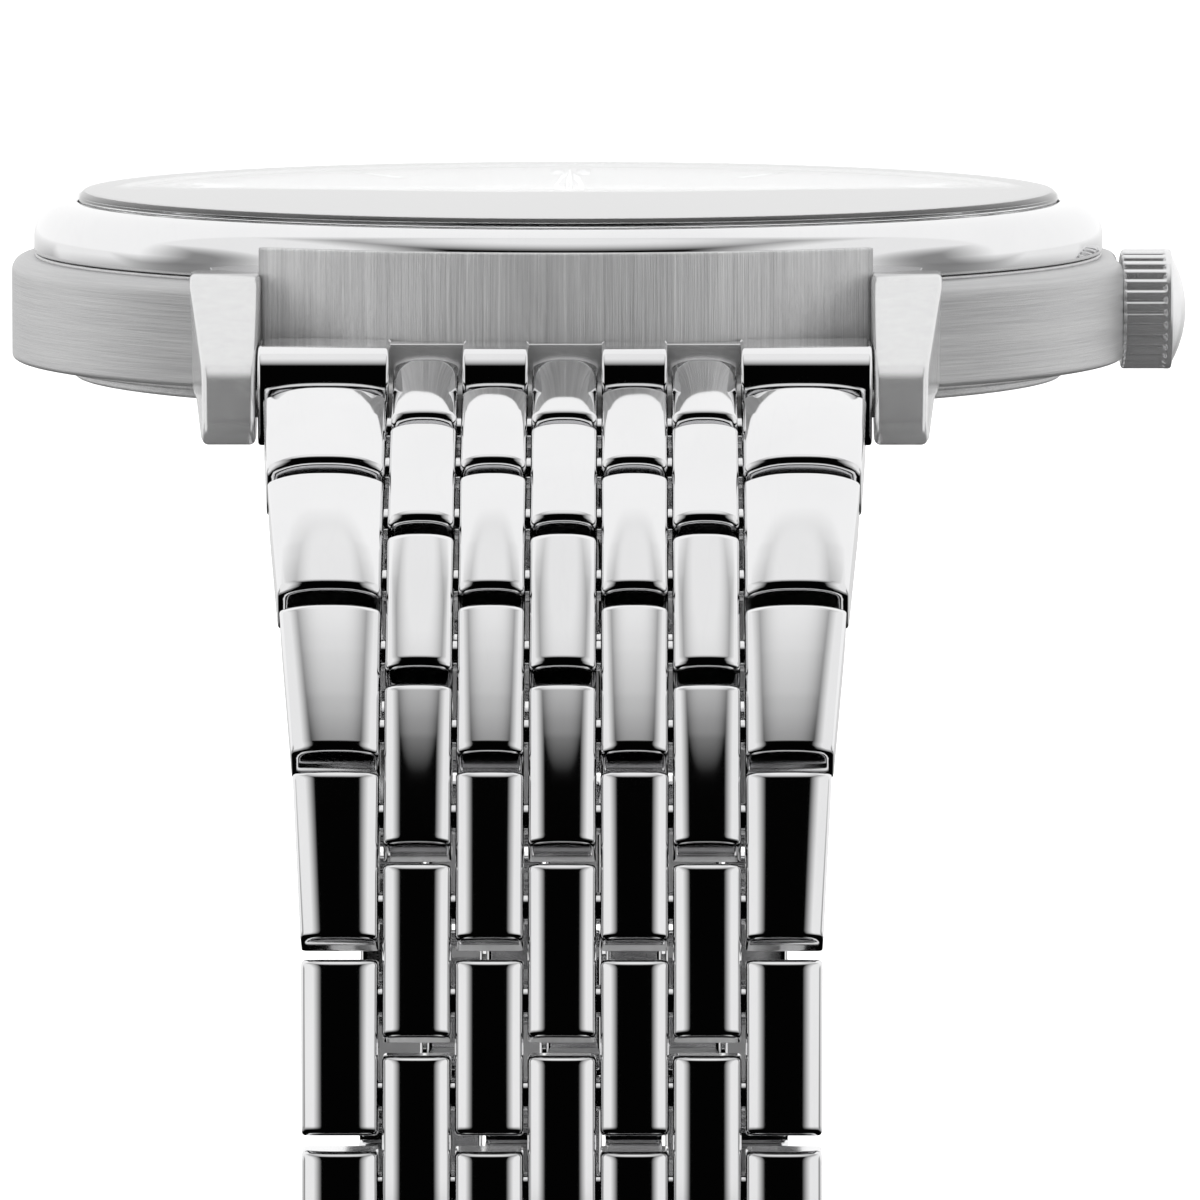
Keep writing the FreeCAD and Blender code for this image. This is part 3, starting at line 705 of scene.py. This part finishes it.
# Bar with a roof-shaped top, lower and narrower at both ends, pointing out from the centre.
def barSolid(shape, shift=0.0):
    y = np.array([shape["inner"], shape["inner"] + 0.05, shape["outer"] - 0.05, shape["outer"]])
    across = np.array([-1, -0.95, 0, 0.95, 1, 1, -1]) * shape["half"]
    lift = np.array([0.55, 0.65, 1, 0.65, 0.55, 0, 0]) * shape["rise"]
    keep = np.array([0.8, 1, 1, 0.8])[:, None]
    x = shift + across[None, :] * keep
    z = dialTop + lift[None, :] * (0.6 + 0.4 * keep)
    return loft(np.stack([x, y[:, None] + 0 * x, z], -1))


# Matrix of a turn about the dial's axis.
def turnZ(degrees):
    angle = math.radians(degrees)
    return [[math.cos(angle), -math.sin(angle), 0], [math.sin(angle), math.cos(angle), 0], [0, 0, 1]]


# One bar each 30 degrees, and a pair of them at 12 o'clock.
def hourBars():
    twin = (-barShape["twinShift"], barShape["twinShift"])
    return [moved(barSolid(barShape, shift), turnZ(-30 * hour))
            for hour in range(12) for shift in (twin if hour == 0 else (0.0,))]


minuteMarks = [moved(barSolid(trackShape), turnZ(6 * step)) for step in range(60)]
makePiece("hourBars", hourBars(), steel, "case", "polished_steel", "hour_markers")
makePiece("minuteTrack", minuteMarks, printFinish, "case", "dial_paint")
for node, finish in (("dial", dialFinish), ("movement", moduleFinish), ("seals", rubber)):
    giveFinish(node, finish)
for node in ("battery", "crown_tube", "winding_stem", "winding_pinion", "spring_bars"):
    giveFinish(node, steelTurned)
print("dial side made")


linkCount = 18
pins = [jointMm("twelve_hinge_%02d" % (i + 1))[1:] for i in range(linkCount)]
pins.append(jointMm("clasp_strand_pin")[1:] * [-1, 1])
pinPitch = float(np.linalg.norm(pins[1] - pins[0]))

linkShape = {"nearHalf": 2.72, "farHalf": 2.72, "shortHalf": 2.575, "length": 5.15, "thick": 2.6,
             "width": 2.12, "columnPitch": 2.25, "sideInner": 5.69, "topEdge": 0.26, "innerEdge": 1.05,
             "cornerX": 0.13, "crown": 0.24, "crownPower": 2.8, "crownReach": 1.06, "lengthCrown": 0.13,
             "pinRadius": 0.5, "pinEdge": 0.08, "wideHalf": 9.75, "narrowHalf": 8.05, "taper": 27.0}


# Half the bracelet's width: the wide end eased to the narrow end over the taper length.
def halfWidthAt(distance):
    narrowing = linkShape["narrowHalf"] - linkShape["wideHalf"]
    return linkShape["wideHalf"] + narrowing * smooth(distance / linkShape["taper"])


# Rounded square from -1 to 1 with extra points on its top and bottom, as rows of (x, z) of the
# corner or flat, then (x, z) of the arc.
def linkSection():
    angle = np.linspace(0, math.pi / 2, 6)
    rows = []
    for signX, signZ, start in ((1, -1, -math.pi / 2), (1, 1, 0), (-1, 1, math.pi / 2),
                                (-1, -1, math.pi)):
        rows += [(signX, signZ, math.cos(a), math.sin(a)) for a in angle + start]
        if (signX, signZ) == (1, 1):
            rows += [(t, 1, 0, 1) for t in np.linspace(0.84, -0.84, 13)]
        elif (signX, signZ) == (-1, -1):
            rows += [(t, -1, 0, -1) for t in (-0.8, 0, 0.8)]
    return np.array(rows)


# How far a surface has fallen, at this depth from the end, round a corner of that radius.
def endArc(depth, radius):
    inside = np.clip(radius - depth, 0, radius)
    return radius - np.sqrt(radius * radius - inside * inside)


# One column of a link, lying along Y and centred on the origin, far end at -Y. Its section is a
# rounded rectangle; top and bottom fall round the end corners, and the top also falls towards
# its sides by the crown times |x| to a power, and towards its ends by a little times y squared.
def linkSolid(x0, x1, x0Far, x1Far, near, far):
    thick = linkShape["thick"] / 2
    outer, inner, corner = linkShape["topEdge"], linkShape["innerEdge"], linkShape["cornerX"]
    # rings stand close together round the end corners and sparsely between them
    quarter = np.linspace(0, math.pi / 2, 7)
    depth = np.unique(np.round(np.concatenate([outer * (1 - np.cos(quarter)), inner * (1 - np.cos(quarter)),
                                               corner * (1 - np.cos(quarter[::2])), [1.3, 1.8]]), 4))
    y = np.concatenate([near - depth, [0.7, 0, -0.7], -(far - depth)[::-1]])[:, None]
    half = np.where(y > 0, near, far)
    fall = half - np.abs(y)
    section = linkSection()
    side = endArc(fall, corner)
    share = (near - y) / (near + far)
    left = x0 + (x0Far - x0) * share + side
    right = x1 + (x1Far - x1) * share - side
    centre, reach = (left + right) / 2, (right - left) / 2
    top = thick - endArc(fall, outer) - linkShape["lengthCrown"] * (y / half) ** 2
    bottom = -thick + endArc(fall, inner)
    # points of the flats are spread a little short of the corner arcs
    flat = (np.abs(section[:, 2]) < 1e-6) & (np.abs(section[:, 0]) < 1)
    x = np.where(flat, centre + section[:, 0] * (reach - corner) / 0.92,
                 centre + section[:, 0] * (reach - corner) + section[:, 2] * corner)
    middle, tall = (top + bottom) / 2, (top - bottom) / 2
    z = np.where(flat, middle + section[:, 1] * tall,
                 middle + section[:, 1] * (tall - corner) + section[:, 3] * corner)
    crown = linkShape["crown"] * (reach / linkShape["crownReach"])
    crown = crown * np.abs((x - centre) / reach) ** linkShape["crownPower"]
    z = z - crown * np.clip(section[:, 1], 0, 1) * smooth((z - middle) / tall)
    rings = np.stack([x, y + 0 * x, z], -1)
    # two shrinking rings hold each end face flat
    shrink = np.array([0.9, 0.5])[:, None, None]
    first = rings[0].mean(0) + (rings[0] - rings[0].mean(0)) * shrink[::-1]
    last = rings[-1].mean(0) + (rings[-1] - rings[-1].mean(0)) * shrink
    return loft(np.concatenate([first, rings, last]))


# Round pin along X with slightly rounded ends.
def pinSolid(reach, y):
    outline = circleOutline(linkShape["pinRadius"], (y, 0), 32)
    return slab(outline, -reach, reach, linkShape["pinEdge"], alongX, 3)


# Matrix and shift that set a link between its two pins: local -Y goes along the strand and
# local +Z outwards. Side is -1 for 6 o'clock, and the other side is turned half round.
def linkPlace(index, side):
    start, end = pins[index], pins[index + 1]
    along = (end - start) / pinPitch
    middle = (start + end) / 2
    matrix = np.array([[1, 0, 0], [0, along[0], along[1]], [0, -along[1], along[0]]])
    shift = np.array([0, -middle[0], middle[1]])
    if side > 0:
        matrix = np.array(halfTurn) @ matrix
        shift = np.array(halfTurn) @ shift
    return matrix, shift


# The columns of one link: even ones are the three narrow columns, odd ones the four wide with
# their two pins.
def linkSolids(index):
    half, pitch = linkShape["width"] / 2, linkShape["columnPitch"]
    nearEnd = linkShape["shortHalf"] if index < 2 else linkShape["nearHalf"]
    farEnd = linkShape["shortHalf"] if index == linkCount - 1 else linkShape["farHalf"]

    # a column of the usual width whose middle is at x = c
    def column(c):
        return linkSolid(c - half, c + half, c - half, c + half, nearEnd, farEnd)

    if index % 2 == 0:
        return [column(c) for c in (-2 * pitch, 0, 2 * pitch)]
    distance = (index + 0.5) * pinPitch
    near = float(halfWidthAt(distance - linkShape["length"] / 2))
    far = float(halfWidthAt(distance + linkShape["length"] / 2))
    outside = linkSolid(linkShape["sideInner"], near, linkShape["sideInner"], far, nearEnd, farEnd)
    reach = min(near, far) - 0.01
    return ([column(c) for c in (-pitch, pitch)] + [outside, moved(outside, mirrorX)]
            + [pinSolid(reach, y) for y in (-pinPitch / 2, pinPitch / 2)])


for sideName, side in (("six", -1), ("twelve", 1)):
    for index in range(linkCount):
        node = "link_%s_%02d" % (sideName, index + 1)
        matrix, shift = linkPlace(index, side)
        solids = [moved(solid, matrix, shift) for solid in linkSolids(index)]
        makePiece("%sLink%02d" % (sideName, index + 1), solids, steel, node, "polished_steel", node)


endShape = {"top": 2.45, "bottom": -0.75, "front": 22.2, "foot": 21.6, "back": 18.75, "backCut": 17.4,
            "halfWidth": 9.93, "frontEdge": 1.1, "footEdge": 0.4, "backEdge": 0.1, "webFront": 19.05,
            "webDrop": 0.06, "webLift": 0.1, "webEdge": 0.05, "webFrontEdge": 0.1}


# How far back an end link may go beside the case, at x: a circle about the dial's axis.
def caseSide(x):
    return -np.sqrt(endShape["back"] ** 2 - x * x)


# Outline of (y, z) with x as its height, its back held to the case's circle.
def againstCase(a, b, h):
    return h, np.minimum(a, caseSide(h)), b


# Columns 1, 3, 5 and 7 of an end link as rounded blocks.
def endColumns():
    top, bottom, cut = endShape["top"], endShape["bottom"], -endShape["backCut"]
    outline = roundOutline([(cut, bottom, endShape["backEdge"]), (cut, top, endShape["backEdge"]),
                            (-endShape["front"], top, endShape["frontEdge"]),
                            (-endShape["foot"], bottom, endShape["footEdge"])], 8)
    half, pitch = linkShape["width"] / 2, linkShape["columnPitch"]
    spans = [(c - half, c + half) for c in (-pitch, pitch)]
    inner, outer = linkShape["sideInner"], endShape["halfWidth"]
    spans += [(inner, outer), (-outer, -inner)]
    return [slab(outline, x0, x1, 0.1, againstCase, 4) for x0, x1 in spans]


# Web behind the columns: a rounded section carried along X, its back held to the case's circle.
def endWeb():
    top, bottom = endShape["top"] - endShape["webDrop"], endShape["bottom"] + endShape["webLift"]
    cut, front = -endShape["backCut"], -endShape["webFront"]
    section = roundOutline([(cut, bottom, endShape["webEdge"]), (cut, top, endShape["webEdge"]),
                            (front, top, endShape["webFrontEdge"]), (front, bottom, endShape["webEdge"])], 4)
    x = np.linspace(-endShape["halfWidth"], endShape["halfWidth"], 41)[:, None]
    rings = [x + 0 * section[:, 0], np.minimum(section[:, 0], caseSide(x)), section[:, 1] + 0 * x]
    return loft(np.stack(rings, -1))


columns, web = endColumns(), endWeb()
makePiece("endLinkSix", columns, steel, "case", "polished_steel", "end_link_six")
makePiece("endWebSix", [web], steelSatin, "case", "polished_steel", "end_link_six")
makePiece("endLinkTwelve", [moved(solid, halfTurn) for solid in columns], steel, "case", "polished_steel",
          "end_link_twelve")
makePiece("endWebTwelve", [moved(web, halfTurn)], steelSatin, "case", "polished_steel", "end_link_twelve")
print("bracelet made")

for node in ("clasp_cover", "clasp_outer_blade", "clasp_inner_blade"):
    giveFinish(node, steelLong)
for node in ("clasp_button_left", "clasp_button_right"):
    giveFinish(node, steel)
print("clasp made")


cameraSetup = {"distance": 390.0, "above": 23.1, "side": 2.1, "pitch": 5.45, "yaw": 0.15, "lens": 342.9,
               "sensor": 36.0, "clipStart": 0.01, "clipEnd": 20.0}


# Level with the 6 o'clock side, a little above the crystal, looking slightly down.
def addCamera():
    top = boxMm("crystal")[1][2]
    data = bpy.data.cameras.new("camera")
    data.sensor_width = cameraSetup["sensor"]
    data.lens = cameraSetup["lens"]
    data.clip_start = cameraSetup["clipStart"]
    data.clip_end = cameraSetup["clipEnd"]
    camera = bpy.data.objects.new("camera", data)
    camera.location = (cameraSetup["side"] / mmPerMetre, -cameraSetup["distance"] / mmPerMetre,
                       (top + cameraSetup["above"]) / mmPerMetre)
    camera.rotation_euler = (math.radians(90 - cameraSetup["pitch"]), 0, math.radians(cameraSetup["yaw"]))
    bpy.context.scene.collection.objects.link(camera)
    bpy.context.scene.camera = camera


floorLook = {"half": 4.0, "colour": (0.93, 0.93, 0.93), "rough": 0.6, "glow": 0.6, "clear": 0.047}


# Plain pale floor, low enough for the clasp to open above it; the steel doesn't mirror it.
def addFloor():
    level = cadBox[0][2] - floorLook["clear"]
    half = floorLook["half"]
    mesh = bpy.data.meshes.new("floor")
    corners = [(-half, -half, level), (half, -half, level), (half, half, level), (-half, half, level)]
    mesh.from_pydata(corners, [], [(0, 1, 2, 3)])
    material, tree, shader, place = newMaterial("floorPaper", floorLook["colour"], 0.0, floorLook["rough"])
    shader.inputs["Emission Color"].default_value = (1, 1, 1, 1)
    shader.inputs["Emission Strength"].default_value = floorLook["glow"]
    mesh.materials.append(material)
    floor = bpy.data.objects.new("floor", mesh)
    floor.visible_glossy = False
    bpy.context.scene.collection.objects.link(floor)


# each pair is where a band of light starts and where it is full, along one axis of the direction
skyLook = {"front": 0.001, "back": 1.1, "overhead": (0.80, 0.985), "behind": (-0.15, 0.25),
           "behindLow": (-0.3, 0.0), "side": (0.35, 0.6), "sideLow": (-0.5, -0.1), "sideFar": (0.9, 0.985),
           "farShare": 0.3}


# Soft room light by direction: white overhead, behind and at both sides, dimmer straight out to
# a side, and dark in front. The camera itself sees plain white.
def addStudio():
    world = bpy.data.worlds.new("studio")
    bpy.context.scene.world = world
    world.use_nodes = True
    tree = world.node_tree
    background = tree.nodes["Background"]
    background.inputs["Color"].default_value = (1, 1, 1, 1)
    split = tree.nodes.new("ShaderNodeSeparateXYZ")
    tree.links.new(tree.nodes.new("ShaderNodeTexCoord").outputs["Generated"], split.inputs[0])
    x, y, z = split.outputs
    across = mathNode(tree, "ABSOLUTE", x)
    overhead = mapRange(tree, z, *skyLook["overhead"])
    behind = mathNode(tree, "MULTIPLY", mapRange(tree, y, *skyLook["behind"]),
                      mapRange(tree, z, *skyLook["behindLow"]))
    sides = mathNode(tree, "MULTIPLY", mapRange(tree, across, *skyLook["side"]),
                     mapRange(tree, z, *skyLook["sideLow"]))
    dimmer = mapRange(tree, across, *skyLook["sideFar"], 1, skyLook["farShare"])
    light = skyLook["front"]
    for part in (overhead, mathNode(tree, "MULTIPLY", sides, dimmer),
                 mathNode(tree, "MULTIPLY", behind, skyLook["back"]),
                 tree.nodes.new("ShaderNodeLightPath").outputs["Is Camera Ray"]):
        light = mathNode(tree, "MAXIMUM", part, light)
    tree.links.new(light, background.inputs["Strength"])


# Square area light at a place, turned to face the object at the origin.
def addSoftbox(name, place, size, power):
    data = bpy.data.lights.new(name, "AREA")
    data.size = size
    data.energy = power
    box = bpy.data.objects.new(name, data)
    box.location = place
    box.rotation_euler = (math.atan2(math.hypot(place[0], place[1]), place[2]), 0,
                          math.atan2(place[0], -place[1]))
    box.visible_glossy = False
    bpy.context.scene.collection.objects.link(box)


addCamera()
addFloor()
addStudio()
addSoftbox("topBox", (0, 0.05, 0.7), 0.6, 1.2)
addSoftbox("frontBox", (0, -0.6, 0.15), 0.5, 3.0)
bpy.context.scene.view_settings.view_transform = "Standard"
